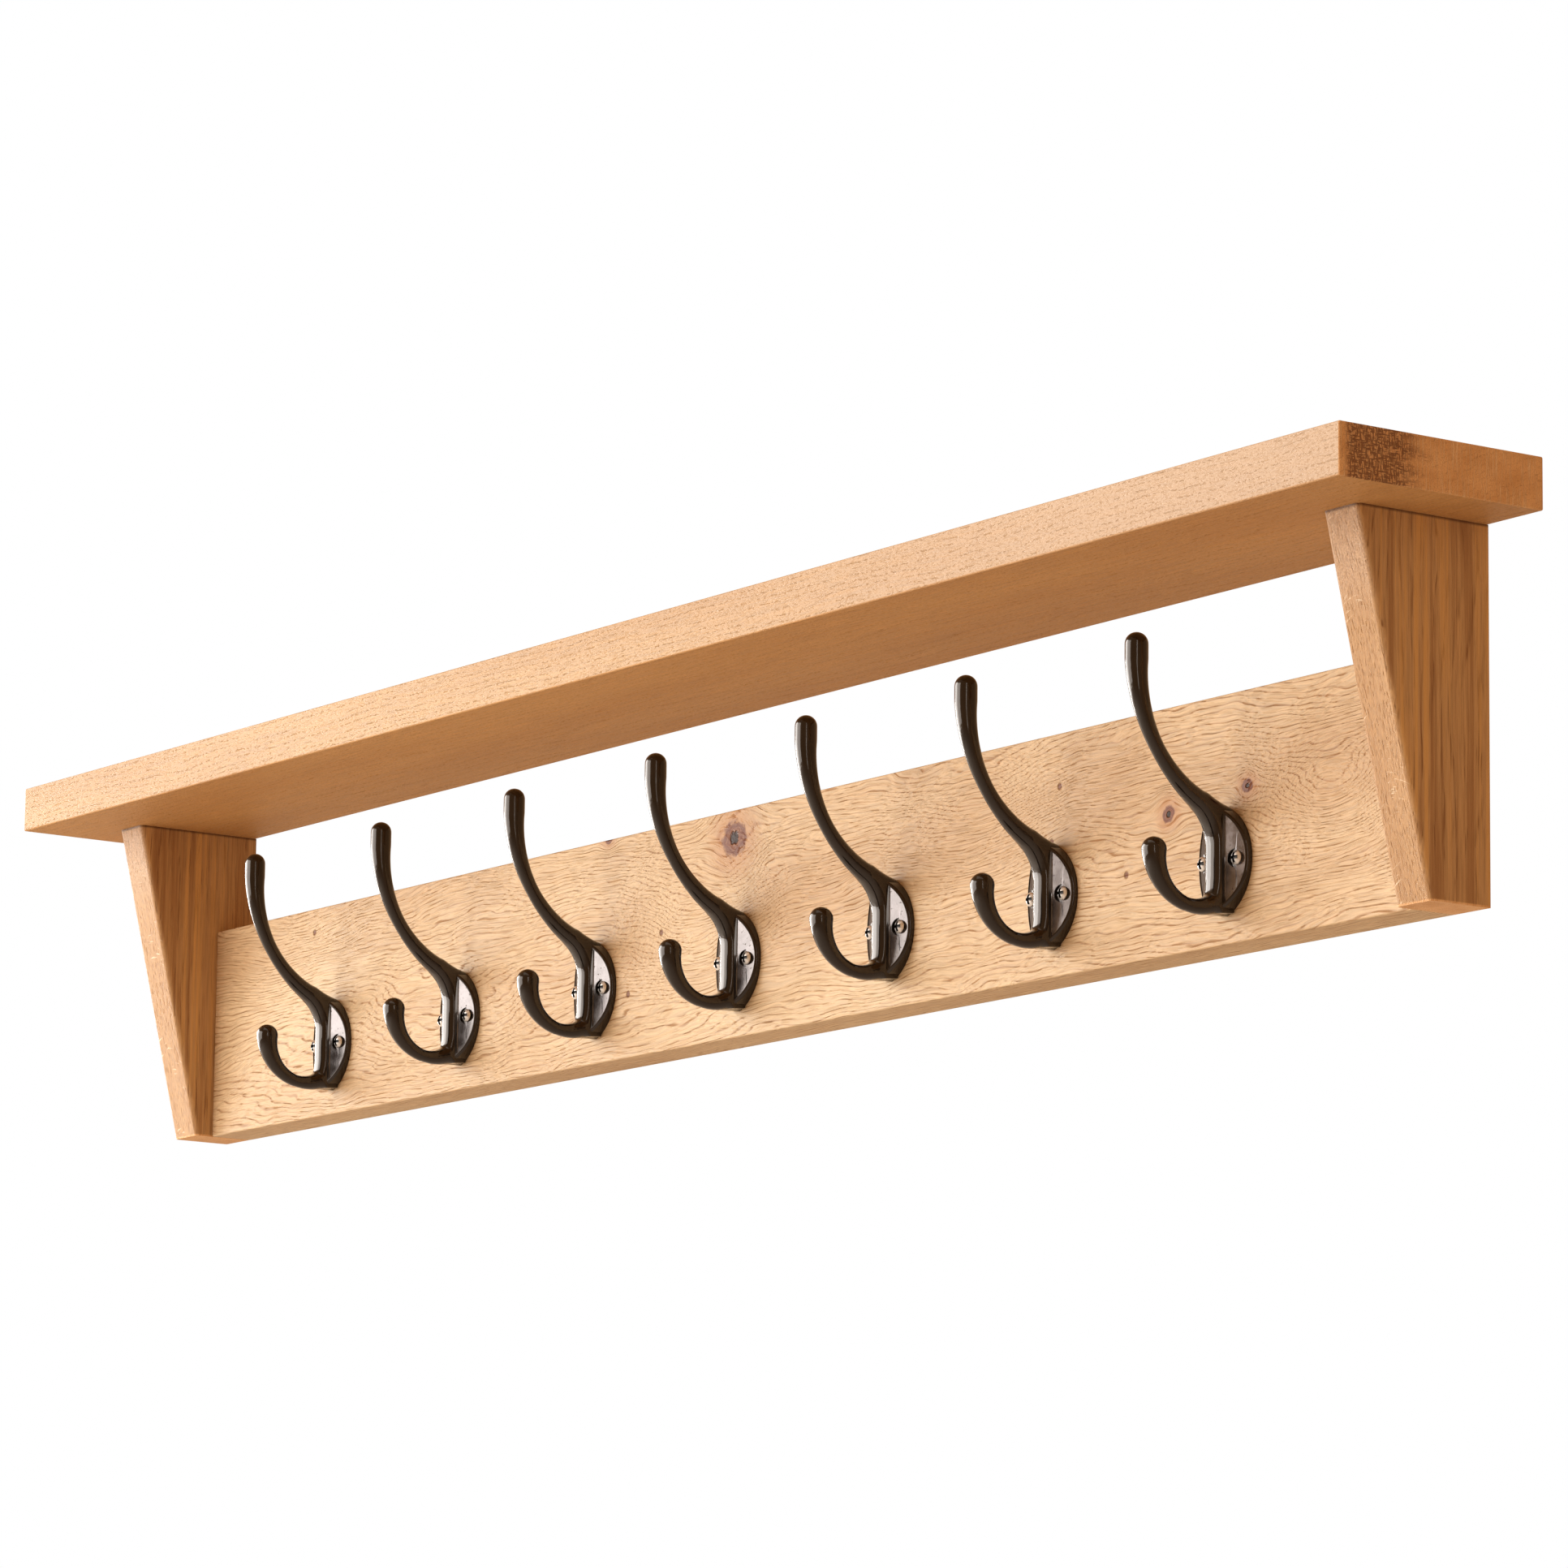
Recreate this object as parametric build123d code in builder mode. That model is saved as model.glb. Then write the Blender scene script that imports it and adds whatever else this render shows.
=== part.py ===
"""Wall hook rack: an oak shelf on two tapered brackets, a back board between them and a row of cast hooks.

Frame: X to the right, +Z up, the wall is the plane Y = 0 and the rack stands out towards -Y.
The origin is on the wall, at the middle of the back board's back face. Millimetres.
"""
import os
from math import atan2, cos, radians, sin, sqrt

from build123d import *

# Planks: every plank is planed to one thickness, and the shelf is as deep as the back board is high
rack_length = 1100.0
plank_thickness = 23.0
shelf_depth = 110.0
back_board_height = 110.0
rack_height = 186.0
arris_radius = 0.8

# End brackets: plumb at the wall, sloping at the front
bracket_inset = 35.0
bracket_top_depth = 71.0
bracket_bottom_depth = 32.0
bracket_arris_radius = 2.5
back_board_end_radius = 1.5

# Hooks: places along the back board
hook_count = 7
hook_screw_height = 36.0
hook_screw_offset = 11.6

# Hook plate: two circle arcs that meet in a point at the top and bottom, gabled to a ridge in the middle
plate_half_width = 17.2
plate_half_height = 24.0
plate_point_radius = 2.5
plate_draft = 6.0
plate_ridge = 9.5
plate_edge = 2.3
plate_rim_width = 1.5
plate_recess_depth = 0.5
panel_point_radius = 1.0

# Hook web: the upright band between the two arms
web_width = 11.3
web_depth = 10.0
web_edge_radius = 3.9
web_front_top = 6.0
web_front_bottom = -12.0
web_back_trim = 0.6

# Hook arms: each bends on one arc that ends plumb, measured from the board's face and the line of the screws
upper_tip_out = 50.0
upper_bend_up = 83.0
upper_bend_radius = 66.0
upper_root_angle = 61.0
upper_tip_straight = 6.8
upper_radii = (4.6, 3.9, 3.5, 3.3, 3.4, 3.85, 4.7, 5.2)
upper_root_widths = (5.6, 4.4, 3.7)
lower_tip_out = 40.2
lower_bend_up = 1.2
lower_bend_radius = 22.4
lower_root_angle = 112.0
lower_tip_straight = 0.2
lower_radii = (4.6, 3.4, 3.2, 3.45, 4.05, 4.9, 5.6)
lower_root_widths = (5.6, 3.9, 3.3)

# Hook screws: round-head wood screws with a cross recess
screw_length = 18.0
screw_shank_radius = 1.7
screw_point_length = 4.0
screw_head_radius = 3.2
screw_head_height = 2.0
screw_recess_length = 4.4
screw_recess_width = 1.1
screw_recess_depth = 1.4
screw_head_wall = 0.5
screw_hole_clearance = 0.2
screw_seat_radius = 4.3
screw_seat_height = 4.3
pilot_clearance = 0.05
pilot_end_gap = 0.5

# Dowels: hidden joints between the brackets, the shelf and the back board
dowel_radius = 4.0
dowel_length = 28.0
dowel_chamfer = 0.8
dowel_clearance = 0.05
dowel_end_gap = 0.5
dowel_depth_in_shelf = 13.0
shelf_dowel_back_margin = 22.0
shelf_dowel_front_margin = 17.0
board_dowel_depth_in_bracket = 12.0
board_dowel_margin = 22.0
board_dowel_count = 3

# Hanging plates: keyhole plates let in flush with the back of each bracket
hanger_length = 44.0
hanger_width = 16.0
hanger_thickness = 2.0
hanger_clearance = 0.1
hanger_top_margin = 8.0
keyhole_radius = 4.75
keyslot_width = 4.6
keyslot_length = 10.0
keyhole_pocket_width = 12.5
keyhole_pocket_depth = 11.0
hanger_screw_pitch = 33.0
hanger_screw_length = 14.0
hanger_screw_shank_radius = 1.4
hanger_screw_head_radius = 2.8
hanger_screw_point_length = 3.0
hanger_screw_recess_length = 3.0
hanger_screw_recess_width = 0.8
hanger_screw_recess_depth = 0.9
hanger_screw_sink = 0.05

# Worked-out places
rack_bottom = -back_board_height / 2
shelf_underside = rack_bottom + rack_height - plank_thickness
bracket_outer_face = rack_length / 2 - bracket_inset
bracket_inner_face = bracket_outer_face - plank_thickness
bracket_middle = (bracket_outer_face + bracket_inner_face) / 2
back_board_length = 2 * bracket_inner_face
hook_pitch = back_board_length / (hook_count + 1)
hook_places = [(i - (hook_count - 1) / 2) * hook_pitch for i in range(hook_count)]
board_face = -plank_thickness
hook_line = rack_bottom + hook_screw_height
board_dowel_pitch = (back_board_height - 2 * board_dowel_margin) / (board_dowel_count - 1)
shelf_dowel_front = bracket_top_depth - shelf_dowel_front_margin
hanger_middle = shelf_underside - hanger_top_margin - hanger_length / 2
sides = {"left": -1, "right": 1}
shelf_dowel_places = [
    (side * bracket_middle, -out)
    for side in sides.values()
    for out in (shelf_dowel_back_margin, shelf_dowel_front)
]
board_dowel_places = [
    (board_face / 2, (i - (board_dowel_count - 1) / 2) * board_dowel_pitch)
    for i in range(board_dowel_count)
]

os.makedirs("parts", exist_ok=True)


def hanger_plane(side):
    """The back of a bracket at the middle of its hanging plate, facing the wall, with y up."""
    return Plane(origin=(side * bracket_middle, 0, hanger_middle), x_dir=(-1, 0, 0), z_dir=(0, 1, 0))


def vesica(half_width, half_height, point_radius):
    """The outline of two equal arcs that meet in a rounded point at the top and bottom."""
    with BuildSketch() as outline:
        with BuildLine():
            ThreePointArc((0, -half_height), (half_width, 0), (0, half_height))
            ThreePointArc((0, half_height), (-half_width, 0), (0, -half_height))
        make_face()
        fillet(outline.vertices(), point_radius)
    return outline.sketch


def arm_centre_line(tip_out, bend_up, bend_radius, root_angle, tip_straight):
    """An arm's centre line: an arc from its root that ends plumb, then a short straight to its tip."""
    with BuildLine(across_board) as line:
        bend = CenterArc((tip_out - bend_radius, bend_up), bend_radius, -root_angle, root_angle)
        Line(bend @ 1, (tip_out, bend_up + tip_straight))
    return line.wire()


def root_edge(tip_out, bend_up, bend_radius, root_angle, root_radius, side):
    """A point of the arm's outline at its root, on the inner (-1) or outer (+1) side of the bend."""
    reach = bend_radius + side * root_radius
    return (
        tip_out - bend_radius + reach * cos(radians(root_angle)),
        bend_up - reach * sin(radians(root_angle)),
    )


def gable_plane(side):
    """The plane of the plate's sloping face on the left (-1) or right (1) of the ridge, facing outwards."""
    return Plane(
        origin=(0, board_face - plate_ridge, hook_line),
        x_dir=(side * cos(gable_angle), sin(gable_angle), 0),
        z_dir=(side * sin(gable_angle), -cos(gable_angle), 0),
    )


def is_in_front(edge):
    """True for an edge that lies well out from the board, near the web's front."""
    return board_face - edge.center().Y > web_depth - web_edge_radius


def round_arm(centre_line, radii, root_widths):
    """An arm along its centre line: as wide as the web at its root, round beyond, ending in a ball."""
    half_widths = root_widths + radii[len(root_widths) :]
    with BuildPart() as shaped:
        for i, (half_width, radius) in enumerate(zip(half_widths, radii)):
            place = centre_line @ (i / (len(radii) - 1))
            direction = centre_line % (i / (len(radii) - 1))
            with BuildSketch(Plane(origin=place, x_dir=(1, 0, 0), z_dir=direction)):
                Ellipse(half_width, radius)
        loft()
        with Locations(centre_line @ 1):
            Sphere(radii[-1])
    return shaped.part


# The hook is built at the middle of the rack and copied along the board. Three planes carry its sketches:
# the board's face looking outwards, a plane across the board with x outwards and y up, and a level plane.
hook_centre = (0, board_face, hook_line)
on_board = Plane(origin=hook_centre, x_dir=(1, 0, 0), z_dir=(0, -1, 0))
across_board = Plane(origin=hook_centre, x_dir=(0, -1, 0), z_dir=(-1, 0, 0))
level = Plane(origin=hook_centre, x_dir=(1, 0, 0), z_dir=(0, 0, 1))

upper_bend = (upper_tip_out, upper_bend_up, upper_bend_radius, upper_root_angle)
lower_bend = (lower_tip_out, lower_bend_up, lower_bend_radius, lower_root_angle)
upper_line = arm_centre_line(*upper_bend, upper_tip_straight)
lower_line = arm_centre_line(*lower_bend, lower_tip_straight)
upper_over = root_edge(*upper_bend, upper_radii[0], -1)
upper_under = root_edge(*upper_bend, upper_radii[0], 1)
lower_over = root_edge(*lower_bend, lower_radii[0], -1)
lower_under = root_edge(*lower_bend, lower_radii[0], 1)
web_back_height = plate_half_height - web_back_trim

# The sunk panels keep the plate's arc centres, so their rim is equally wide all round
gable_angle = atan2(plate_ridge - plate_edge, plate_half_width)
plate_arc_radius = (plate_half_height**2 + plate_half_width**2) / (2 * plate_half_width)
panel_half_width = plate_half_width - plate_rim_width
panel_half_height = sqrt(
    (plate_arc_radius - plate_rim_width) ** 2 - (plate_arc_radius - plate_half_width) ** 2
)
panel_stretch = 1 / cos(gable_angle)

with BuildPart() as hook_web:
    with BuildSketch(across_board):
        with BuildLine():
            Line((0, -web_back_height), lower_under)
            Line(lower_under, lower_over)
            TangentArc((web_depth, web_front_bottom), lower_over, tangent=(0, -1))
            Line((web_depth, web_front_bottom), (web_depth, web_front_top))
            TangentArc((web_depth, web_front_top), upper_under, tangent=(0, 1))
            Line(upper_under, upper_over)
            TangentArc((0, web_back_height), upper_over, tangent=(1, 0))
            Line((0, web_back_height), (0, -web_back_height))
        make_face()
    extrude(amount=web_width / 2, both=True)
    flanks = hook_web.faces().filter_by(Axis.X)
    fillet(flanks.edges().filter_by(is_in_front), web_edge_radius)

plate_outline = vesica(plate_half_width, plate_half_height, plate_point_radius)
panel_outline = vesica(panel_half_width * panel_stretch, panel_half_height, panel_point_radius)
upper_arm = round_arm(upper_line, upper_radii, upper_root_widths)
lower_arm = round_arm(lower_line, lower_radii, lower_root_widths)

# Hook casting: plate, web and two arms in one piece, with seats for its two screws
with BuildPart() as hook_casting:
    # Oval plate with drafted sides
    with BuildSketch(on_board):
        add(plate_outline)
    extrude(amount=plate_ridge, taper=plate_draft)
    # Gabled face: a ridge down the middle that falls to a thin edge at each side
    with BuildSketch(level):
        with BuildLine():
            Polyline(
                (-plate_half_width, 0),
                (plate_half_width, 0),
                (plate_half_width, -plate_edge),
                (0, -plate_ridge),
                (-plate_half_width, -plate_edge),
                close=True,
            )
        make_face()
    extrude(amount=plate_half_height, both=True, mode=Mode.INTERSECT)
    # Sunk panel on each side of the web, inside a narrow rim
    for side in sides.values():
        with BuildSketch(gable_plane(side)):
            add(panel_outline)
            with Locations((web_width / 2 * panel_stretch, 0)):
                Rectangle(
                    plate_half_width,
                    2 * plate_half_height,
                    align=(Align.MIN, Align.CENTER),
                    mode=Mode.INTERSECT,
                )
        extrude(amount=-plate_recess_depth, mode=Mode.SUBTRACT)
    add(hook_web.part)
    add(upper_arm)
    add(lower_arm)
    # Flat seat and clearance hole for each screw
    with BuildSketch(on_board.offset(screw_seat_height)):
        with GridLocations(2 * hook_screw_offset, 0, 2, 1):
            Circle(screw_seat_radius)
    extrude(amount=plate_ridge, mode=Mode.SUBTRACT)
    with BuildSketch(on_board):
        with GridLocations(2 * hook_screw_offset, 0, 2, 1):
            Circle(screw_shank_radius + screw_hole_clearance)
    extrude(amount=plate_ridge, mode=Mode.SUBTRACT)

for number, place in enumerate(hook_places, start=1):
    with BuildPart() as hook:
        with Locations((place, 0, 0)):
            add(hook_casting.part)
    hook.part.label = f"hook_{number}"
    export_step(hook.part, f"parts/hook_{number}.step")


def cross_recess(length, width):
    """The outline of a cross-head driver recess."""
    with BuildSketch() as outline:
        Rectangle(length, width)
        Rectangle(width, length)
    return outline.sketch


hook_screw_recess = cross_recess(screw_recess_length, screw_recess_width)

# Round-head wood screw on its own axis: the underside of its head is at z = 0 and its point is below
with BuildPart() as round_head_screw:
    with BuildSketch(Plane.XZ):
        with BuildLine():
            Polyline(
                (0, screw_head_height),
                (0, -screw_length),
                (screw_shank_radius, screw_point_length - screw_length),
                (screw_shank_radius, 0),
                (screw_head_radius, 0),
                (screw_head_radius, screw_head_wall),
            )
            TangentArc((0, screw_head_height), (screw_head_radius, screw_head_wall), tangent=(1, 0))
        make_face()
    revolve(axis=Axis.Z)
    with BuildSketch(Plane.XY.offset(screw_head_height)):
        add(hook_screw_recess)
    extrude(amount=-screw_recess_depth, mode=Mode.SUBTRACT)

for number, place in enumerate(hook_places, start=1):
    for side_name, side in sides.items():
        seat = (place + side * hook_screw_offset, board_face - screw_seat_height, hook_line)
        with BuildPart() as hook_screw:
            with Locations(Plane(origin=seat, x_dir=(1, 0, 0), z_dir=(0, -1, 0))):
                add(round_head_screw.part)
        hook_screw.part.label = f"hook_{number}_screw_{side_name}"
        export_step(hook_screw.part, f"parts/hook_{number}_screw_{side_name}.step")

# Shelf: one plank with lightly eased arrises, and a blind socket over each bracket dowel
with BuildPart() as shelf_board:
    with BuildSketch(Plane.XY.offset(shelf_underside)):
        Rectangle(rack_length, shelf_depth, align=(Align.CENTER, Align.MAX))
    extrude(amount=plank_thickness)
    fillet(shelf_board.edges(), arris_radius)
    with BuildSketch(Plane.XY.offset(shelf_underside)):
        with Locations(*shelf_dowel_places):
            Circle(dowel_radius + dowel_clearance)
    extrude(amount=dowel_depth_in_shelf + dowel_end_gap, mode=Mode.SUBTRACT)
shelf_board.part.label = "shelf_board"
export_step(shelf_board.part, "parts/shelf_board.step")

# Back board: one plank between the brackets, its upright front corners rounded, drilled for screws and dowels
with BuildPart() as back_board:
    with BuildSketch(Plane.XY.offset(rack_bottom)):
        Rectangle(back_board_length, plank_thickness, align=(Align.CENTER, Align.MAX))
    extrude(amount=back_board_height)
    front_face = back_board.faces().sort_by(Axis.Y)[0]
    fillet(front_face.edges().filter_by(Axis.Z), back_board_end_radius)
    fillet(back_board.faces().sort_by(Axis.Y)[0].edges().filter_by(Axis.X), arris_radius)
    with BuildSketch(on_board):
        with Locations(*[(place, 0) for place in hook_places]):
            with GridLocations(2 * hook_screw_offset, 0, 2, 1):
                Circle(screw_shank_radius + pilot_clearance)
    extrude(amount=-(screw_length - screw_seat_height + pilot_end_gap), mode=Mode.SUBTRACT)
    for side in sides.values():
        with BuildSketch(Plane.YZ.offset(side * bracket_inner_face)):
            with Locations(*board_dowel_places):
                Circle(dowel_radius + dowel_clearance)
        socket_depth = dowel_length - board_dowel_depth_in_bracket + dowel_end_gap
        extrude(amount=-side * socket_depth, mode=Mode.SUBTRACT)
back_board.part.label = "back_board"
export_step(back_board.part, "parts/back_board.step")

# End brackets: tapered planks with eased front edges, socketed for the dowels and let in for the hanging plate
for side_name, side in sides.items():
    with BuildPart() as bracket:
        with BuildSketch(Plane.YZ.offset(side * bracket_middle)):
            with BuildLine():
                Polyline(
                    (0, rack_bottom),
                    (-bracket_bottom_depth, rack_bottom),
                    (-bracket_top_depth, shelf_underside),
                    (0, shelf_underside),
                    close=True,
                )
            make_face()
        extrude(amount=plank_thickness / 2, both=True)
        front_face = bracket.faces().sort_by(Axis.Y)[0]
        front_long_edges = front_face.edges().sort_by(SortBy.LENGTH)[-2:]
        fillet(front_long_edges, bracket_arris_radius)
        # Sockets for the shelf dowels in the top and for the board dowels in the inner face
        with BuildSketch(Plane.XY.offset(shelf_underside)):
            with Locations(*[place for place in shelf_dowel_places if place[0] * side > 0]):
                Circle(dowel_radius + dowel_clearance)
        socket_depth = dowel_length - dowel_depth_in_shelf + dowel_end_gap
        extrude(amount=-socket_depth, mode=Mode.SUBTRACT)
        with BuildSketch(Plane.YZ.offset(side * bracket_inner_face)):
            with Locations(*board_dowel_places):
                Circle(dowel_radius + dowel_clearance)
        extrude(amount=side * (board_dowel_depth_in_bracket + dowel_end_gap), mode=Mode.SUBTRACT)
        # Housing for the hanging plate, the pocket behind its keyhole and pilot holes for its screws
        with BuildSketch(hanger_plane(side)):
            SlotOverall(hanger_length + 2 * hanger_clearance, hanger_width + 2 * hanger_clearance, rotation=90)
        extrude(amount=-hanger_thickness, mode=Mode.SUBTRACT)
        with BuildSketch(hanger_plane(side)):
            SlotCenterToCenter(keyslot_length, keyhole_pocket_width, rotation=90)
        extrude(amount=-keyhole_pocket_depth, mode=Mode.SUBTRACT)
        with BuildSketch(hanger_plane(side)):
            with GridLocations(0, hanger_screw_pitch, 1, 2):
                Circle(hanger_screw_shank_radius + pilot_clearance)
        extrude(amount=-(hanger_screw_length + pilot_end_gap), mode=Mode.SUBTRACT)
    bracket.part.label = f"bracket_{side_name}"
    export_step(bracket.part, f"parts/bracket_{side_name}.step")

# Dowel standing on its own axis, its middle at the origin and both ends chamfered
with BuildPart() as dowel:
    Cylinder(dowel_radius, dowel_length)
    chamfer(dowel.edges().filter_by(GeomType.CIRCLE), dowel_chamfer)

# Upright dowels between each bracket and the shelf
shelf_dowel_middle = shelf_underside + dowel_depth_in_shelf - dowel_length / 2
for side_name, side in sides.items():
    for row, out in (("back", shelf_dowel_back_margin), ("front", shelf_dowel_front)):
        with BuildPart() as shelf_dowel:
            with Locations((side * bracket_middle, -out, shelf_dowel_middle)):
                add(dowel.part)
        shelf_dowel.part.label = f"shelf_dowel_{side_name}_{row}"
        export_step(shelf_dowel.part, f"parts/shelf_dowel_{side_name}_{row}.step")

# Level dowels between each bracket and the back board
board_dowel_middle = bracket_inner_face + board_dowel_depth_in_bracket - dowel_length / 2
for side_name, side in sides.items():
    for number, (across, up) in enumerate(board_dowel_places, start=1):
        with BuildPart() as board_dowel:
            with Locations(Plane(origin=(side * board_dowel_middle, across, up), z_dir=(1, 0, 0))):
                add(dowel.part)
        board_dowel.part.label = f"board_dowel_{side_name}_{number}"
        export_step(board_dowel.part, f"parts/board_dowel_{side_name}_{number}.step")

# Keyhole hanging plates, flush with the back of the brackets
for side_name, side in sides.items():
    with BuildPart() as hanging_plate:
        with BuildSketch(hanger_plane(side)):
            SlotOverall(hanger_length, hanger_width, rotation=90)
            with Locations((0, -keyslot_length / 2)):
                Circle(keyhole_radius, mode=Mode.SUBTRACT)
            SlotCenterToCenter(keyslot_length, keyslot_width, rotation=90, mode=Mode.SUBTRACT)
        extrude(amount=-hanger_thickness)
        with Locations(hanger_plane(side)):
            with GridLocations(0, hanger_screw_pitch, 1, 2):
                CounterSinkHole(
                    radius=hanger_screw_shank_radius + screw_hole_clearance,
                    counter_sink_radius=hanger_screw_head_radius + screw_hole_clearance,
                    depth=hanger_thickness,
                    counter_sink_angle=90,
                )
    hanging_plate.part.label = f"hanging_plate_{side_name}"
    export_step(hanging_plate.part, f"parts/hanging_plate_{side_name}.step")

# Countersunk screw on its own axis: the top of its head is at z = 0 and its point is below
hanger_screw_recess = cross_recess(hanger_screw_recess_length, hanger_screw_recess_width)
hanger_screw_cone = hanger_screw_head_radius - hanger_screw_shank_radius
with BuildPart() as countersunk_screw:
    with BuildSketch(Plane.XZ):
        with BuildLine():
            Polyline(
                (0, 0),
                (0, -hanger_screw_length),
                (hanger_screw_shank_radius, hanger_screw_point_length - hanger_screw_length),
                (hanger_screw_shank_radius, -hanger_screw_cone),
                (hanger_screw_head_radius, 0),
                close=True,
            )
        make_face()
    revolve(axis=Axis.Z)
    with BuildSketch(Plane.XY):
        add(hanger_screw_recess)
    extrude(amount=-hanger_screw_recess_depth, mode=Mode.SUBTRACT)

for side_name, side in sides.items():
    for row, up in (("lower", -hanger_screw_pitch / 2), ("upper", hanger_screw_pitch / 2)):
        with BuildPart() as hanger_screw:
            with Locations(hanger_plane(side).location * Location((0, up, -hanger_screw_sink))):
                add(countersunk_screw.part)
        hanger_screw.part.label = f"hanging_plate_{side_name}_screw_{row}"
        export_step(hanger_screw.part, f"parts/hanging_plate_{side_name}_screw_{row}.step")
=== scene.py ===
"""Wall hook rack in oiled oak with seven cast coat hooks."""

from math import cos, pi, radians, sin

import bmesh
import bpy
from mathutils import Matrix, Vector


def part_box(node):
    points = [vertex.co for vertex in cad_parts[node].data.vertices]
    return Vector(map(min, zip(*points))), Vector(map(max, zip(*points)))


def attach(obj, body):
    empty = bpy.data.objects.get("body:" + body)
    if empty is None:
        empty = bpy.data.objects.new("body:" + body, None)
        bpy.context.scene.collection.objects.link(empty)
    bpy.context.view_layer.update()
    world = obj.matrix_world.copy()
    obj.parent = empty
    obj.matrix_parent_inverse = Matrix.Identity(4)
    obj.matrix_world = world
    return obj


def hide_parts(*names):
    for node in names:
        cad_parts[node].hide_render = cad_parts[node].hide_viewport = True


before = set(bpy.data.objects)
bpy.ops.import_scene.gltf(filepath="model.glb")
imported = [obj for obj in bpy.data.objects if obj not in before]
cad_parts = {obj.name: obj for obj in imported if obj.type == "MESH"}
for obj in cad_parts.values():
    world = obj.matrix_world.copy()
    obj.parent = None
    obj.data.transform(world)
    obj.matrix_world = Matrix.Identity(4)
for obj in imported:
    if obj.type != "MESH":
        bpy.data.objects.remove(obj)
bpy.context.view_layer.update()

# The studio. The rack hangs in the open at shoulder height over a pale floor, and is looked at
# from its right and from below. Wide windows stand in front and to the left, and a doorway to the right.

floor_height = -1.5
floor_half_width = 7.0
floor_mesh = bpy.data.meshes.new("studio_floor")
work = bmesh.new()
bmesh.ops.create_grid(
    work, x_segments=1, y_segments=1, size=floor_half_width,
    matrix=Matrix.Translation((0, 0, floor_height)),
)
work.to_mesh(floor_mesh)
work.free()
floor = bpy.data.objects.new("studio_floor", floor_mesh)
bpy.context.collection.objects.link(floor)
floor_paint = bpy.data.materials.new("studio_floor")
floor_paint.use_nodes = True
floor_shader = floor_paint.node_tree.nodes["Principled BSDF"]
floor_rays = floor_paint.node_tree.nodes.new("ShaderNodeLightPath")
floor_shader.inputs["Base Color"].default_value = (0.70, 0.66, 0.60, 1)
floor_shader.inputs["Roughness"].default_value = 0.9
floor_shader.inputs["Emission Color"].default_value = (0.28, 0.36, 0.42, 1)
floor_paint.node_tree.links.new(floor_rays.outputs["Is Camera Ray"], floor_shader.inputs["Emission Strength"])
floor_mesh.materials.append(floor_paint)

aim = Vector((0.0104, -0.0061, 0.0672))
camera_azimuth = radians(55.0)
camera_elevation = radians(-10.155)
camera_roll = radians(0.698)
camera_distance = 3.2968
camera_back = Vector(
    (
        sin(camera_azimuth) * cos(camera_elevation),
        -cos(camera_azimuth) * cos(camera_elevation),
        sin(camera_elevation),
    )
)
camera_data = bpy.data.cameras.new("camera")
camera_data.sensor_width = 36
camera_data.lens = 158.585
camera = bpy.data.objects.new("camera", camera_data)
bpy.context.collection.objects.link(camera)
camera.matrix_world = (
    Matrix.Translation(aim + camera_distance * camera_back)
    @ (-camera_back).to_track_quat("-Z", "Y").to_matrix().to_4x4()
    @ Matrix.Rotation(camera_roll, 4, "Z")
)
bpy.context.scene.camera = camera


def hang_light(name, direction, distance, width, height, power, tint):
    """A soft panel of light that faces the rack from the given direction."""
    panel = bpy.data.lights.new(name, "AREA")
    panel.shape = "RECTANGLE"
    panel.size = width
    panel.size_y = height
    panel.energy = power
    panel.color = tint
    holder = bpy.data.objects.new(name, panel)
    bpy.context.collection.objects.link(holder)
    toward = Vector(direction).normalized()
    holder.matrix_world = (
        Matrix.Translation(toward * distance)
        @ (-toward).to_track_quat("-Z", "Y").to_matrix().to_4x4()
    )


hang_light("front_window", (-0.44, -0.90, 0.17), 4.5, 3.45, 2.9, 118, (1.0, 0.97, 0.93))
hang_light("left_window", (-0.875, -0.485, 0.17), 9.0, 4.5, 5.8, 560, (1.0, 0.98, 0.95))
hang_light("side_window", (-1.0, -0.10, 0.17), 9.0, 0.8, 5.0, 360, (1.0, 0.99, 0.97))
hang_light("doorway", (0.85, -0.50, 0.17), 4.0, 0.09, 2.4, 7, (1.0, 0.97, 0.93))
hang_light("ceiling", (0.1, -0.2, 1.0), 2.4, 2.6, 2.6, 16, (1.0, 0.95, 0.88))

# The room's own glow is warm where it lights the rack, and plain white where it is seen past it
room = bpy.data.worlds.new("studio")
bpy.context.scene.world = room
room.use_nodes = True
room.node_tree.nodes.clear()
room_out = room.node_tree.nodes.new("ShaderNodeOutputWorld")
room_mix = room.node_tree.nodes.new("ShaderNodeMixShader")
room_seen = room.node_tree.nodes.new("ShaderNodeBackground")
room_glow = room.node_tree.nodes.new("ShaderNodeBackground")
room_rays = room.node_tree.nodes.new("ShaderNodeLightPath")
room_glow.inputs["Color"].default_value = (1.0, 0.54, 0.25, 1)
room_glow.inputs["Strength"].default_value = 0.47
room_seen.inputs["Color"].default_value = (1, 1, 1, 1)
room.node_tree.links.new(room_rays.outputs["Is Camera Ray"], room_mix.inputs["Fac"])
room.node_tree.links.new(room_glow.outputs[0], room_mix.inputs[1])
room.node_tree.links.new(room_seen.outputs[0], room_mix.inputs[2])
room.node_tree.links.new(room_mix.outputs[0], room_out.inputs[0])
bpy.context.scene.view_settings.view_transform = "Standard"

# The oak: solid planks, planed, sanded and oiled. Every plank carries its own growth rings, with rows of
# open pores in the spring wood, fine fibres, pale ray flecks, and darker sawn end grain.


def feed(tree, socket, value):
    """Joins a socket to another node's output, or sets it to a plain value."""
    if isinstance(value, bpy.types.NodeSocket):
        tree.links.new(value, socket)
    else:
        socket.default_value = value


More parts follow.
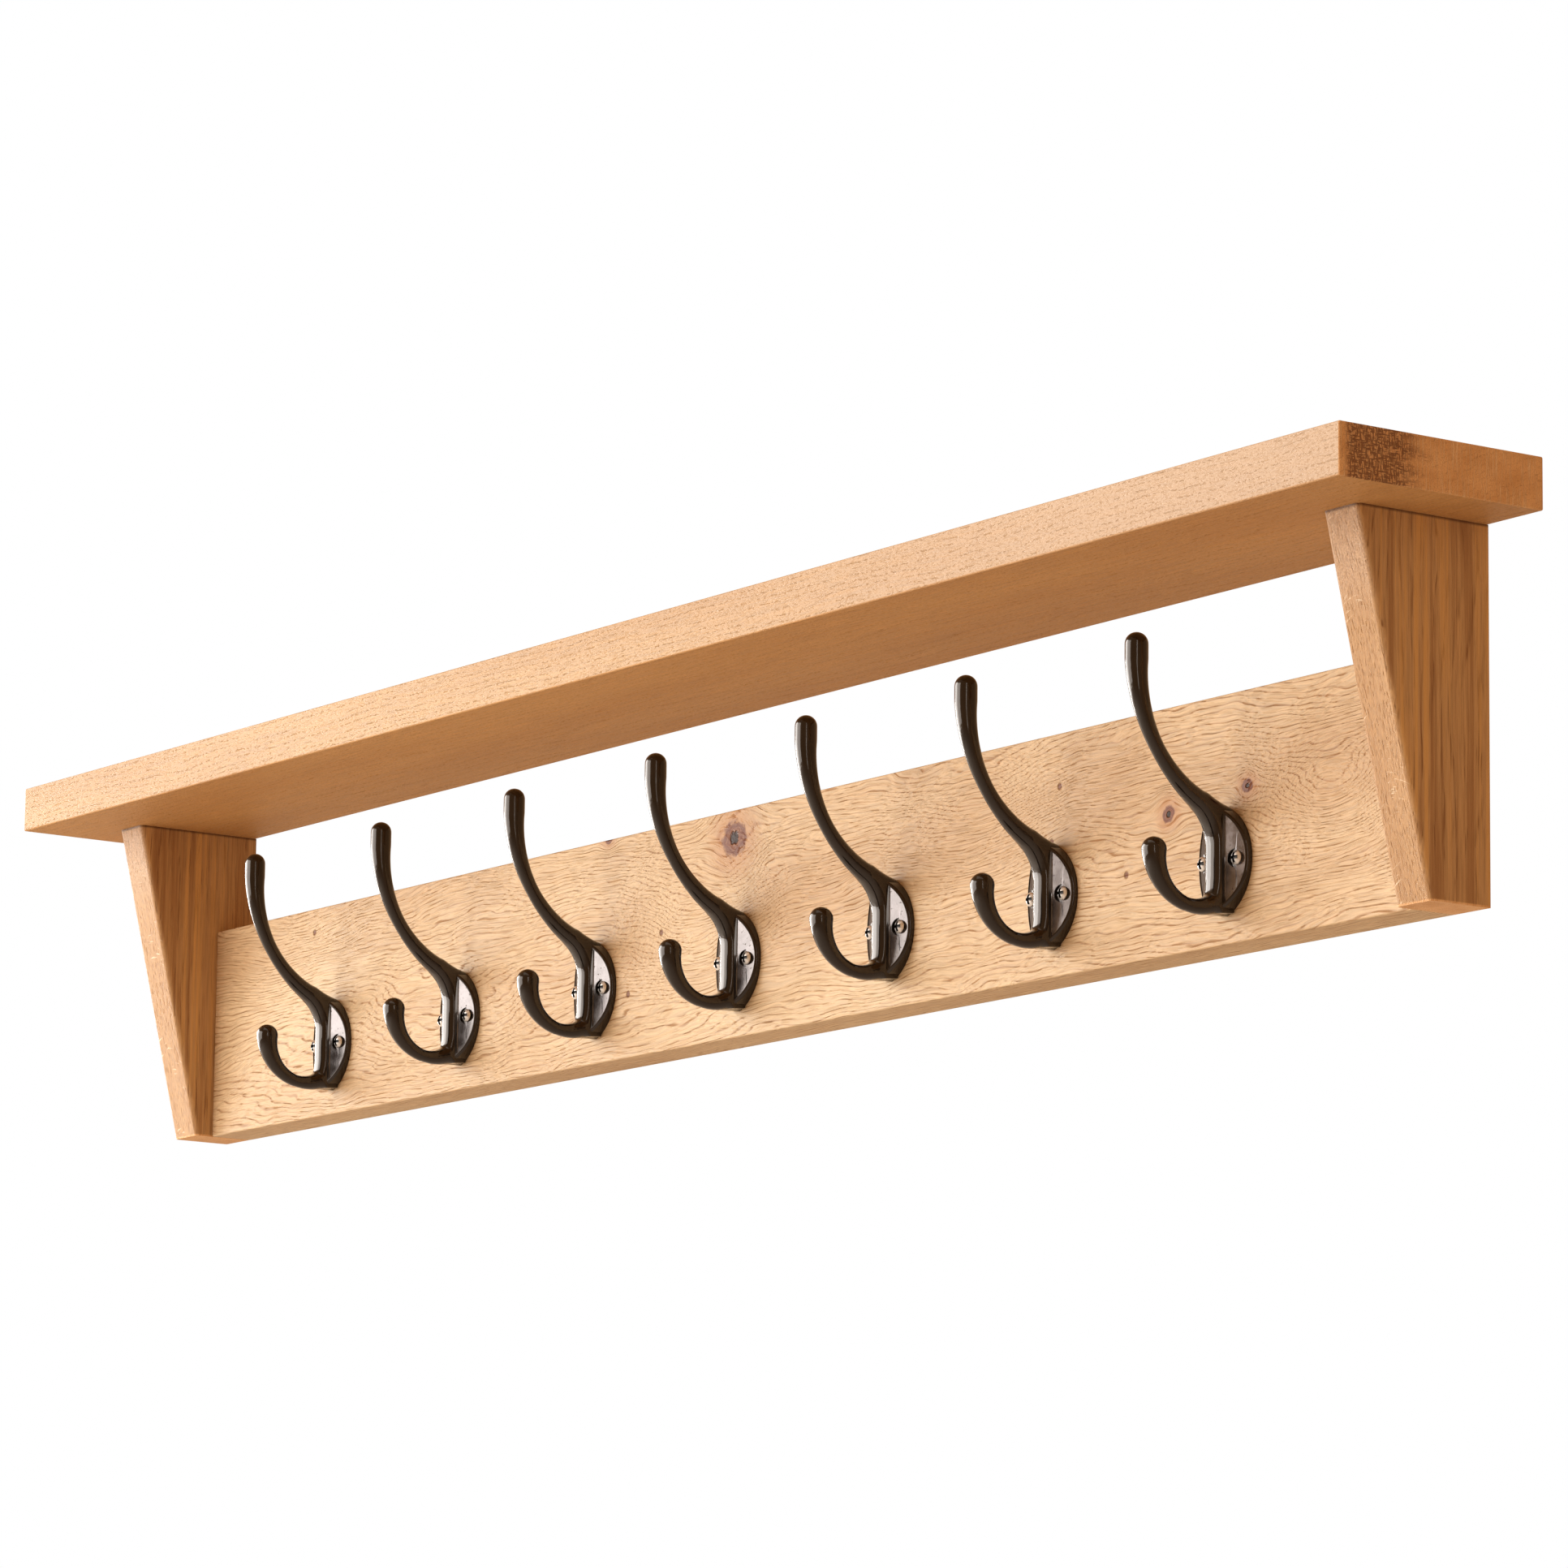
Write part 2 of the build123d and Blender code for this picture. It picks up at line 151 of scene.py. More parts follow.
def sum_up(tree, operation, *values, clamp=False):
    """A Math node's result."""
    made = tree.nodes.new("ShaderNodeMath")
    made.operation = operation
    made.use_clamp = clamp
    for socket, value in zip(made.inputs, values):
        feed(tree, socket, value)
    return made.outputs[0]


def sum_vectors(tree, operation, *values):
    """A Vector Math node's result."""
    made = tree.nodes.new("ShaderNodeVectorMath")
    made.operation = operation
    for socket, value in zip(made.inputs, values):
        feed(tree, socket, value)
    return made.outputs["Value" if operation in ("LENGTH", "DISTANCE", "DOT_PRODUCT") else "Vector"]


def speckle(tree, point, stretch, detail=2.0, coarse=0.5):
    """Noise over a point that is first stretched along each axis."""
    made = tree.nodes.new("ShaderNodeTexNoise")
    feed(tree, made.inputs["Vector"], sum_vectors(tree, "MULTIPLY", point, stretch))
    made.inputs["Scale"].default_value = 1.0
    made.inputs["Detail"].default_value = detail
    made.inputs["Roughness"].default_value = coarse
    return made


def fade(tree, value, start, end, low=0.0, high=1.0):
    """A value's smooth passage from low at start to high at end."""
    made = tree.nodes.new("ShaderNodeMapRange")
    made.interpolation_type = "SMOOTHSTEP"
    for socket, setting in zip(made.inputs, (value, start, end, low, high)):
        feed(tree, socket, setting)
    return made.outputs[0]


def blend_colours(tree, share, first, second, how="MIX"):
    """Two colours mixed by a share."""
    made = tree.nodes.new("ShaderNodeMix")
    made.data_type = "RGBA"
    made.blend_type = how
    feed(tree, made.inputs["Factor"], share)
    for socket, value in zip((made.inputs[6], made.inputs[7]), (first, second)):
        feed(tree, socket, value if isinstance(value, bpy.types.NodeSocket) else (*value, 1))
    return made.outputs[2]


def start_group(name, takes, gives):
    """A new node group: its tree, its input sockets by name, and its output node."""
    tree = bpy.data.node_groups.new(name, "ShaderNodeTree")
    for label, kind in takes:
        tree.interface.new_socket(name=label, in_out="INPUT", socket_type=f"NodeSocket{kind}")
    for label, kind in gives:
        tree.interface.new_socket(name=label, in_out="OUTPUT", socket_type=f"NodeSocket{kind}")
    ends = tree.nodes.new("NodeGroupInput"), tree.nodes.new("NodeGroupOutput")
    return tree, ends[0].outputs, ends[1].inputs


def place_group(tree, group, **values):
    """Puts a node group in a material, with its values by input name (spaces as underscores)."""
    made = tree.nodes.new("ShaderNodeGroup")
    made.node_tree = group
    for name, value in values.items():
        feed(tree, made.inputs[name.replace("_", " ")], value)
    return made.outputs


def start_material(name):
    """A new material: its tree, its shader and its object coordinates."""
    made = bpy.data.materials.new(name)
    made.use_nodes = True
    tree = made.node_tree
    return made, tree, tree.nodes["Principled BSDF"], tree.nodes.new("ShaderNodeTexCoord").outputs["Object"]


def raise_surface(tree, shader, height, distance, strength=1.0):
    """Feeds a height to the shader's normal through a Bump node."""
    made = tree.nodes.new("ShaderNodeBump")
    made.inputs["Strength"].default_value = strength
    made.inputs["Distance"].default_value = distance
    feed(tree, made.inputs["Height"], height)
    tree.links.new(made.outputs[0], shader.inputs["Normal"])


def coat_node(name, material):
    """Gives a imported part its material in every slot."""
    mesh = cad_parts[name].data
    if not mesh.materials:
        mesh.materials.append(material)
    for place in range(len(mesh.materials)):
        mesh.materials[place] = material


# Growth of the oak: the point runs along the grain in x, and the pith lies at a point in y and z
growth, given, made = start_group(
    "oak_growth",
    (
        ("Point", "Vector"), ("Pith", "Vector"), ("Ring Pitch", "Float"), ("Wander", "Float"),
        ("Dash", "Vector"),
    ),
    (
        ("Spring Wood", "Float"), ("Pores", "Float"), ("Fibres", "Float"), ("Drift", "Float"),
        ("Flecks", "Float"),
    ),
)
noise_middle = (0.5, 0.5, 0.5)
quick_share = (0.22, 0.22, 0.22)
slow_noise = speckle(growth, given["Point"], (5, 16, 16)).outputs["Color"]
quick_noise = speckle(growth, given["Point"], (24, 70, 70)).outputs["Color"]
slow = sum_vectors(growth, "SUBTRACT", slow_noise, noise_middle)
quick = sum_vectors(growth, "SUBTRACT", quick_noise, noise_middle)
sway = sum_vectors(growth, "ADD", slow, sum_vectors(growth, "MULTIPLY", quick, quick_share))
sway_size = growth.nodes.new("ShaderNodeCombineXYZ")
growth.links.new(given["Wander"], sway_size.inputs["Y"])
growth.links.new(given["Wander"], sway_size.inputs["Z"])
shift = sum_vectors(growth, "MULTIPLY", sway, sway_size.outputs[0])
warped = sum_vectors(growth, "ADD", given["Point"], shift)
from_pith = sum_vectors(growth, "MULTIPLY", sum_vectors(growth, "SUBTRACT", warped, given["Pith"]), (0, 1, 1))
ring_count = sum_up(growth, "DIVIDE", sum_vectors(growth, "LENGTH", from_pith), given["Ring Pitch"])
uneven = speckle(growth, from_pith, (0, 130, 130)).outputs["Fac"]
uneven_width = sum_up(growth, "MULTIPLY", uneven, 1.4)
ring_phase = sum_up(growth, "FRACT", sum_up(growth, "ADD", ring_count, uneven_width))
spring_rise = fade(growth, ring_phase, 0.0, 0.10)
spring_fall = fade(growth, ring_phase, 0.12, 0.36, 1.0, 0.0)
broken = fade(growth, speckle(growth, warped, (45, 420, 420), 2.0).outputs["Fac"], 0.30, 0.54)
spring = sum_up(growth, "MULTIPLY", sum_up(growth, "MULTIPLY", spring_rise, spring_fall), broken)
dashes = speckle(growth, warped, given["Dash"], 1.0).outputs["Fac"]
open_pores = fade(growth, dashes, 0.50, 0.66)
in_rows = sum_up(growth, "ADD", sum_up(growth, "MULTIPLY", spring, 0.75), 0.30)
pores = sum_up(growth, "MULTIPLY", open_pores, in_rows)
fleck_noise = speckle(growth, warped, (75, 420, 420), 1.0).outputs["Fac"]
growth.links.new(spring, made["Spring Wood"])
growth.links.new(pores, made["Pores"])
growth.links.new(speckle(growth, warped, (26, 1500, 1500), 3.0, 0.6).outputs["Fac"], made["Fibres"])
growth.links.new(speckle(growth, given["Point"], (3.2, 22, 22), 3.0).outputs["Fac"], made["Drift"])
growth.links.new(fade(growth, fleck_noise, 0.60, 0.72), made["Flecks"])

# Oiled oak colour from the growth: honey to amber, browner in the spring wood, dark in the pores
oiled, given, made = start_group(
    "oiled_oak",
    (
        ("Point", "Vector"), ("Pith", "Vector"), ("Ring Pitch", "Float"), ("Wander", "Float"),
        ("Pale", "Color"), ("Deep", "Color"), ("Pore", "Color"), ("Ring Depth", "Float"),
        ("Pore Depth", "Float"), ("Fleck Depth", "Float"), ("Dash", "Vector"),
    ),
    (("Color", "Color"), ("Roughness", "Float"), ("Height", "Float")),
)
grown = place_group(
    oiled, growth, Point=given["Point"], Pith=given["Pith"], Ring_Pitch=given["Ring Pitch"],
    Wander=given["Wander"], Dash=given["Dash"],
)
tone = blend_colours(oiled, fade(oiled, grown["Drift"], 0.30, 0.70), given["Pale"], given["Deep"])
ring_share = sum_up(oiled, "MULTIPLY", grown["Spring Wood"], given["Ring Depth"])
tone = blend_colours(oiled, ring_share, tone, given["Pore"])
fibre_light = fade(oiled, grown["Fibres"], 0.28, 0.72, 0.84, 1.12)
fibre_tone = oiled.nodes.new("ShaderNodeVectorMath")
fibre_tone.operation = "SCALE"
oiled.links.new(tone, fibre_tone.inputs[0])
oiled.links.new(fibre_light, fibre_tone.inputs["Scale"])
fleck_share = sum_up(oiled, "MULTIPLY", grown["Flecks"], given["Fleck Depth"])
tone = blend_colours(oiled, fleck_share, fibre_tone.outputs[0], given["Pale"])
pore_share = sum_up(oiled, "MULTIPLY", grown["Pores"], given["Pore Depth"], clamp=True)
tone = blend_colours(oiled, pore_share, tone, given["Pore"])
oiled.links.new(tone, made["Color"])
fibre_roughness = fade(oiled, grown["Fibres"], 0.2, 0.8, 0.40, 0.52)
pore_roughness = sum_up(oiled, "MULTIPLY", grown["Pores"], 0.3)
roughness = sum_up(oiled, "ADD", fibre_roughness, pore_roughness)
oiled.links.new(roughness, made["Roughness"])
fibre_rise = sum_up(oiled, "MULTIPLY", grown["Fibres"], 0.25)
oiled.links.new(sum_up(oiled, "SUBTRACT", fibre_rise, grown["Pores"]), made["Height"])

# End grain: where the saw crossed the growth. It drinks more oil, so it is browner, and it shows the rays as
# pale lines across the thickness and, where it was left rough, the cross-hatched marks of the saw
soaked_pale = (0.86, 0.50, 0.225)
soaked_deep = (0.72, 0.385, 0.155)
ray_colour = (0.98, 0.66, 0.36)
speck_colour = (0.36, 0.17, 0.07)
torn_colour = (0.56, 0.275, 0.125)
tooth_colour = (0.17, 0.065, 0.026)
end_grain, given, made = start_group(
    "oak_end_grain",
    (("Point", "Vector"), ("Rough", "Float")),
    (("Color", "Color"), ("Height", "Float")),
)
rays = fade(end_grain, speckle(end_grain, given["Point"], (0, 1500, 60), 2.0).outputs["Fac"], 0.50, 0.68)
soak = speckle(end_grain, given["Point"], (0, 60, 90), 3.0).outputs["Fac"]
specks = fade(end_grain, speckle(end_grain, given["Point"], (0, 2600, 2200), 1.0).outputs["Fac"], 0.52, 0.70)
teeth_up = fade(end_grain, speckle(end_grain, given["Point"], (0, 1300, 300), 1.0).outputs["Fac"], 0.46, 0.60)
teeth_noise = speckle(end_grain, given["Point"], (0, 300, 1400), 1.0).outputs["Fac"]
teeth_across = fade(end_grain, teeth_noise, 0.48, 0.62)
teeth = sum_up(end_grain, "MULTIPLY", sum_up(end_grain, "MAXIMUM", teeth_up, teeth_across), given["Rough"])
tone = blend_colours(end_grain, fade(end_grain, soak, 0.3, 0.7), soaked_pale, soaked_deep)
tone = blend_colours(end_grain, sum_up(end_grain, "MULTIPLY", rays, 0.75), tone, ray_colour)
tone = blend_colours(end_grain, sum_up(end_grain, "MULTIPLY", specks, 0.50), tone, speck_colour)
tone = blend_colours(end_grain, sum_up(end_grain, "MULTIPLY", given["Rough"], 0.40), tone, torn_colour)
tone = blend_colours(end_grain, sum_up(end_grain, "MULTIPLY", teeth, 0.80), tone, tooth_colour)
end_grain.links.new(tone, made["Color"])
tooth_depth = sum_up(end_grain, "MULTIPLY", teeth, 1.5)
end_grain.links.new(sum_up(end_grain, "SUBTRACT", rays, tooth_depth), made["Height"])

# The shelf: one straight-grained oak plank that lies on the two brackets, held by hidden dowels. It is square
# edged, planed and oiled. Its front is painted paler towards the right as painted sheen, and the front of its
# sawn ends is rough.

oil_gloss = 0.22
skin_start = 0.0004
skin_end = 0.0010
rough_start = 0.028
rough_end = 0.050
sheen_paint_colour = (0.60, 0.445, 0.305)
underside_shade_tint = (1.08, 0.92, 0.71)
stipple_colour = (0.36, 0.19, 0.080)
shelf_low, shelf_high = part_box("shelf_board")
oak_shelf, tree, shader, here = start_material("oak_shelf")
shader.inputs["Specular IOR Level"].default_value = oil_gloss
wood = place_group(
    tree, oiled, Point=here, Pith=(0, 0.11, -0.20), Ring_Pitch=0.0024, Wander=0.014,
    Pale=(0.595, 0.395, 0.197, 1), Deep=(0.52, 0.325, 0.155, 1), Pore=(0.34, 0.165, 0.06, 1),
    Ring_Depth=0.06, Pore_Depth=0.30, Fleck_Depth=0.20, Dash=(420, 2000, 2000),
)
apart = tree.nodes.new("ShaderNodeSeparateXYZ")
tree.links.new(here, apart.inputs[0])
# Painted sheen: the front face is painted paler towards the right, standing in for the window light it
# reflects
painted_sheen = fade(tree, apart.outputs["X"], 0.0, 0.52, 0.0, 0.75)
in_front = fade(tree, apart.outputs["Y"], shelf_low.y + skin_start, shelf_low.y + skin_end, 1.0, 0.0)
tone = blend_colours(tree, sum_up(tree, "MULTIPLY", painted_sheen, in_front), wood["Color"], sheen_paint_colour)
# Painted shade: the underside is tinted darker and more orange, as it looks in the shade under the shelf
shaded_underside = fade(tree, apart.outputs["Z"], shelf_low.z + skin_start, shelf_low.z + skin_end, 1.0, 0.0)
tone = blend_colours(tree, shaded_underside, tone, underside_shade_tint, "MULTIPLY")
stipple = fade(tree, speckle(tree, here, (1200, 1200, 1200), 2.0).outputs["Fac"], 0.40, 0.62)
tone = blend_colours(tree, sum_up(tree, "MULTIPLY", stipple, 0.28), tone, stipple_colour)
from_centre = sum_up(tree, "ABSOLUTE", apart.outputs["X"])
at_end = fade(tree, from_centre, shelf_high.x - skin_end, shelf_high.x - 0.0003)
torn = speckle(tree, here, (0, 45, 200), 3.0).outputs["Fac"]
torn_edge = sum_up(tree, "ADD", apart.outputs["Y"], sum_up(tree, "MULTIPLY_ADD", torn, 0.030, -0.015))
rough = fade(tree, torn_edge, shelf_low.y + rough_start, shelf_low.y + rough_end, 1.0, 0.0)
behind_edge = fade(tree, apart.outputs["Y"], shelf_low.y + 0.002, shelf_low.y + 0.006)
rough = sum_up(tree, "MULTIPLY", rough, behind_edge)
ends = place_group(tree, end_grain, Point=here, Rough=rough)
tree.links.new(blend_colours(tree, at_end, tone, ends["Color"]), shader.inputs["Base Color"])
end_roughness = sum_up(tree, "MULTIPLY", at_end, 0.62)
tree.links.new(sum_up(tree, "MAXIMUM", wood["Roughness"], end_roughness), shader.inputs["Roughness"])
end_height = sum_up(tree, "MULTIPLY", at_end, ends["Height"])
raise_surface(tree, shader, sum_up(tree, "ADD", wood["Height"], end_height), 0.00022)
coat_node("shelf_board", oak_shelf)

# The back board: one oak plank, doweled between the brackets, that carries the hooks. It is planed and oiled
# as the shelf is, but of wilder growth, with four knots, six pin knots, and grain that swirls between them.

# A knot's masks grow from its heart to the blush round it, and its point bends the grain past it
knot, given, made = start_group(
    "knot",
    (("Point", "Vector"), ("Heart", "Vector"), ("Half Width", "Float"), ("Half Height", "Float")),
    (("Point", "Vector"), ("Body", "Float"), ("Rim", "Float"), ("Core", "Float"), ("Blush", "Float")),
)
offset = sum_vectors(knot, "SUBTRACT", given["Point"], given["Heart"])
knot_size = knot.nodes.new("ShaderNodeCombineXYZ")
knot.links.new(given["Half Width"], knot_size.inputs["X"])
knot_size.inputs["Y"].default_value = 1.0
knot.links.new(given["Half Height"], knot_size.inputs["Z"])
in_face = sum_vectors(knot, "MULTIPLY", sum_vectors(knot, "DIVIDE", offset, knot_size.outputs[0]), (1, 0, 1))
uneven = speckle(knot, given["Point"], (260, 260, 260), 2.0).outputs["Fac"]
far = sum_vectors(knot, "LENGTH", in_face)
ragged = sum_up(knot, "MULTIPLY_ADD", uneven, 0.9, -0.45)
reach = sum_up(knot, "ADD", far, ragged)
push = knot.nodes.new("ShaderNodeVectorMath")
push.operation = "SCALE"
knot.links.new(sum_vectors(knot, "MULTIPLY", offset, (0, 0, 1)), push.inputs[0])
knot.links.new(fade(knot, far, 0.3, 4.5, 0.9, 0.0), push.inputs["Scale"])
knot.links.new(sum_vectors(knot, "SUBTRACT", given["Point"], push.outputs[0]), made["Point"])
growth_lines = fade(knot, sum_up(knot, "FRACT", sum_up(knot, "MULTIPLY", reach, 4.5)), 0.25, 0.65, 0.72, 1.0)
knot.links.new(sum_up(knot, "MULTIPLY", fade(knot, reach, 0.80, 1.10, 1.0, 0.0), growth_lines), made["Body"])
rim_inside = fade(knot, reach, 0.55, 0.95)
knot.links.new(sum_up(knot, "MULTIPLY", rim_inside, fade(knot, reach, 1.0, 1.30, 1.0, 0.0)), made["Rim"])
knot.links.new(fade(knot, reach, 0.30, 0.52, 1.0, 0.0), made["Core"])
knot.links.new(fade(knot, reach, 0.8, 3.4, 1.0, 0.0), made["Blush"])

# A swirl: the growth rings close round a point, as they do beside a branch
swirl, given, made = start_group(
    "grain_swirl",
    (("Point", "Vector"), ("Heart", "Vector"), ("Reach", "Vector"), ("Rise", "Float")),
    (("Point", "Vector"),),
)
offset = sum_vectors(swirl, "SUBTRACT", given["Point"], given["Heart"])
offset = sum_vectors(swirl, "DIVIDE", offset, given["Reach"])
far = sum_vectors(swirl, "LENGTH", sum_vectors(swirl, "MULTIPLY", offset, (1, 0, 1)))
lift = sum_up(swirl, "MULTIPLY", fade(swirl, far, 0.0, 1.0, 1.0, 0.0), given["Rise"])
lift_out = swirl.nodes.new("ShaderNodeCombineXYZ")
swirl.links.new(lift, lift_out.inputs["Y"])
swirl.links.new(sum_vectors(swirl, "SUBTRACT", given["Point"], lift_out.outputs[0]), made["Point"])

# Each knot's heart, half width and half height; each pin knot's place; each swirl's heart, reach and rise
board_knots = (
    ((-0.0061, 0, 0.0412), 0.0085, 0.0076),
    ((0.3281, 0, 0.0076), 0.0036, 0.0034),
    ((0.3828, 0, 0.0126), 0.0033, 0.0027),
    ((-0.1147, 0, 0.0552), 0.0030, 0.0022),
)
pin_knots = (
    (-0.3908, 0.0425), (-0.0672, 0.0032), (-0.0953, -0.0237), (0.2496, 0.0308), (0.2982, -0.0156),
    (0.2439, 0.0061),
)
pin_core = 0.0009
pin_edge = 0.0021
board_swirls = (
    ((0.439, 0, 0.004), (0.075, 1, 0.045), 0.022),
    ((-0.035, 0, 0.012), (0.085, 1, 0.060), 0.026),
    ((-0.270, 0, -0.020), (0.110, 1, 0.050), 0.018),
    ((0.185, 0, 0.030), (0.090, 1, 0.045), 0.020),
)
blush_colour = (0.46, 0.205, 0.080)
knot_colour = (0.185, 0.058, 0.028)
rim_colour = (0.130, 0.030, 0.014)
core_colour = (0.016, 0.006, 0.004)
pin_colour = (0.16, 0.045, 0.022)
oak_board, tree, shader, here = start_material("oak_back_board")
shader.inputs["Specular IOR Level"].default_value = oil_gloss
along = here
for heart, reach, rise in board_swirls:
    along = place_group(tree, swirl, Point=along, Heart=heart, Reach=reach, Rise=rise)["Point"]
masks = {"Body": 0.0, "Rim": 0.0, "Core": 0.0, "Blush": 0.0}
for heart, half_width, half_height in board_knots:
    grown = place_group(tree, knot, Point=here, Heart=heart, Half_Width=half_width, Half_Height=half_height)
    bend = sum_vectors(tree, "SUBTRACT", grown["Point"], here)
    along = sum_vectors(tree, "ADD", along, bend)
    for name in masks:
        masks[name] = sum_up(tree, "MAXIMUM", masks[name], grown[name])
pins = 0.0
for across, up in pin_knots:
    gap = sum_vectors(tree, "MULTIPLY", sum_vectors(tree, "SUBTRACT", here, (across, 0, up)), (1, 0, 1))
    spot = fade(tree, sum_vectors(tree, "LENGTH", gap), pin_core, pin_edge, 1.0, 0.0)
    pins = sum_up(tree, "MAXIMUM", pins, spot)
wood = place_group(
    tree, oiled, Point=along, Pith=(0, 0.05, -0.10), Ring_Pitch=0.0018, Wander=0.032,
    Pale=(0.74, 0.560, 0.340, 1), Deep=(0.605, 0.415, 0.230, 1), Pore=(0.36, 0.175, 0.068, 1),
    Ring_Depth=0.66, Pore_Depth=0.55, Fleck_Depth=0.15, Dash=(60, 1500, 1500),
)
tone = blend_colours(tree, sum_up(tree, "MULTIPLY", masks["Blush"], 0.62), wood["Color"], blush_colour)
tone = blend_colours(tree, sum_up(tree, "MULTIPLY", masks["Body"], 0.95), tone, knot_colour)
tone = blend_colours(tree, sum_up(tree, "MULTIPLY", masks["Rim"], 0.75), tone, rim_colour)
tone = blend_colours(tree, sum_up(tree, "MULTIPLY", masks["Core"], 0.95), tone, core_colour)
tone = blend_colours(tree, sum_up(tree, "MULTIPLY", pins, 0.85), tone, pin_colour)
tree.links.new(tone, shader.inputs["Base Color"])
tree.links.new(wood["Roughness"], shader.inputs["Roughness"])
pits = sum_up(tree, "MULTIPLY", sum_up(tree, "MAXIMUM", masks["Core"], pins), 2.0)
sunk = sum_up(tree, "SUBTRACT", wood["Height"], pits)
raise_surface(tree, shader, sunk, 0.00025)
coat_node("back_board", oak_board)

# The brackets: two upright oak ends, deep at the top and shallow at the foot, doweled to shelf and board.
# Their sides are straight grained and dark with lighter streaks, and their narrow front edges are paler and
# crossed by curved ray flecks.

side_start = 0.0102
side_end = 0.0112
sawn_start = 0.050
sawn_end = 0.020
pale_streak_colour = (0.74, 0.43, 0.155)
dark_streak_colour = (0.33, 0.155, 0.058)
front_line_colour = (0.40, 0.205, 0.085)
fleck_colour = (0.88, 0.72, 0.50)
sawn_colour = (0.78, 0.58, 0.40)
nap_colour = (0.30, 0.17, 0.09)
joint_shade_colour = (0.08, 0.030, 0.012)
oak_bracket, tree, shader, here = start_material("oak_bracket")
shader.inputs["Specular IOR Level"].default_value = oil_gloss
bracket_low, bracket_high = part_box("bracket_right")
apart = tree.nodes.new("ShaderNodeSeparateXYZ")
tree.links.new(here, apart.inputs[0])
upright = tree.nodes.new("ShaderNodeCombineXYZ")
for source, target in (("Z", "X"), ("X", "Y"), ("Y", "Z")):
    tree.links.new(apart.outputs[source], upright.inputs[target])
wood = place_group(
    tree, oiled, Point=upright.outputs[0], Pith=(0, 0.0, 0.12), Ring_Pitch=0.0017, Wander=0.010,
    Pale=(0.60, 0.375, 0.180, 1), Deep=(0.49, 0.280, 0.120, 1), Pore=(0.29, 0.140, 0.053, 1),
    Ring_Depth=0.16, Pore_Depth=0.85, Fleck_Depth=0.10, Dash=(36, 1300, 1300),
)
bracket_middle = (bracket_low.x + bracket_high.x) / 2
from_centre = sum_up(tree, "ABSOLUTE", apart.outputs["X"])
from_middle = sum_up(tree, "SUBTRACT", from_centre, bracket_middle)
on_side = fade(tree, sum_up(tree, "ABSOLUTE", from_middle), side_start, side_end)
streak = speckle(tree, upright.outputs[0], (5, 30, 260), 3.0).outputs["Fac"]
pale_streak = sum_up(tree, "MULTIPLY", fade(tree, streak, 0.50, 0.68, 0.0, 0.80), on_side)
dark_streak = sum_up(tree, "MULTIPLY", fade(tree, streak, 0.48, 0.32, 0.0, 0.62), on_side)
tone = blend_colours(tree, pale_streak, wood["Color"], pale_streak_colour)
tone = blend_colours(tree, dark_streak, tone, dark_streak_colour)
front_lines = fade(tree, speckle(tree, upright.outputs[0], (9, 900, 0), 2.0).outputs["Fac"], 0.46, 0.62)
front_share = sum_up(tree, "SUBTRACT", 0.30, sum_up(tree, "MULTIPLY", on_side, 0.30))
front_lines = sum_up(tree, "MULTIPLY", front_lines, front_share)
tone = blend_colours(tree, front_lines, tone, front_line_colour)
bent = tree.nodes.new("ShaderNodeCombineXYZ")
bow = sum_up(tree, "MULTIPLY", sum_up(tree, "POWER", sum_up(tree, "ABSOLUTE", from_middle), 2.0), 30.0)
tree.links.new(sum_up(tree, "ADD", apart.outputs["Z"], bow), bent.inputs["Z"])
tree.links.new(apart.outputs["X"], bent.inputs["X"])
flecks = speckle(tree, bent.outputs[0], (130, 0, 900), 2.0).outputs["Fac"]
patch = speckle(tree, bent.outputs[0], (60, 0, 34), 1.0).outputs["Fac"]
flecks = sum_up(tree, "MULTIPLY", fade(tree, flecks, 0.60, 0.70), fade(tree, patch, 0.50, 0.62))
flecks = sum_up(tree, "MULTIPLY", flecks, sum_up(tree, "SUBTRACT", 1.0, on_side))
tone = blend_colours(tree, sum_up(tree, "MULTIPLY", flecks, 0.9), tone, fleck_colour)
sawn = fade(tree, apart.outputs["Z"], bracket_high.z - sawn_start, bracket_high.z - sawn_end, 0.0, 1.0)
sawn = sum_up(tree, "MULTIPLY", sawn, sum_up(tree, "SUBTRACT", 1.0, on_side))
nap = fade(tree, speckle(tree, here, (1100, 1100, 1100), 2.0).outputs["Fac"], 0.42, 0.58)
tone = blend_colours(tree, sum_up(tree, "MULTIPLY", sawn, 0.35), tone, sawn_colour)
nap_share = sum_up(tree, "MULTIPLY", sum_up(tree, "MULTIPLY", sawn, nap), 0.38)
tone = blend_colours(tree, nap_share, tone, nap_colour)
# Painted shade: the top of each bracket, in the joint under the shelf, darkens almost to black
joint_shade = fade(tree, apart.outputs["Z"], bracket_high.z - 0.0016, bracket_high.z - 0.0003, 0.0, 0.75)
tone = blend_colours(tree, joint_shade, tone, joint_shade_colour)
at_end = fade(tree, apart.outputs["Z"], bracket_low.z + 0.0004, bracket_low.z + 0.0012, 1.0, 0.0)
turned = tree.nodes.new("ShaderNodeCombineXYZ")
tree.links.new(apart.outputs["X"], turned.inputs["Y"])
tree.links.new(apart.outputs["Y"], turned.inputs["Z"])
ends = place_group(tree, end_grain, Point=turned.outputs[0], Rough=0.0)
tree.links.new(blend_colours(tree, at_end, tone, ends["Color"]), shader.inputs["Base Color"])
tree.links.new(wood["Roughness"], shader.inputs["Roughness"])
raise_surface(tree, shader, wood["Height"], 0.00022)
coat_node("bracket_left", oak_bracket)
coat_node("bracket_right", oak_bracket)

# The hooks: seven hat and coat hooks cast in one piece, in dark bronze lacquer. Each has a gabled oval plate
# with a sunk panel and a screw seat on each side, a web down its middle, and two round arms that swell to
# their tips. The hook is modelled once in millimetres, with y = 0 on the board, then placed seven times.

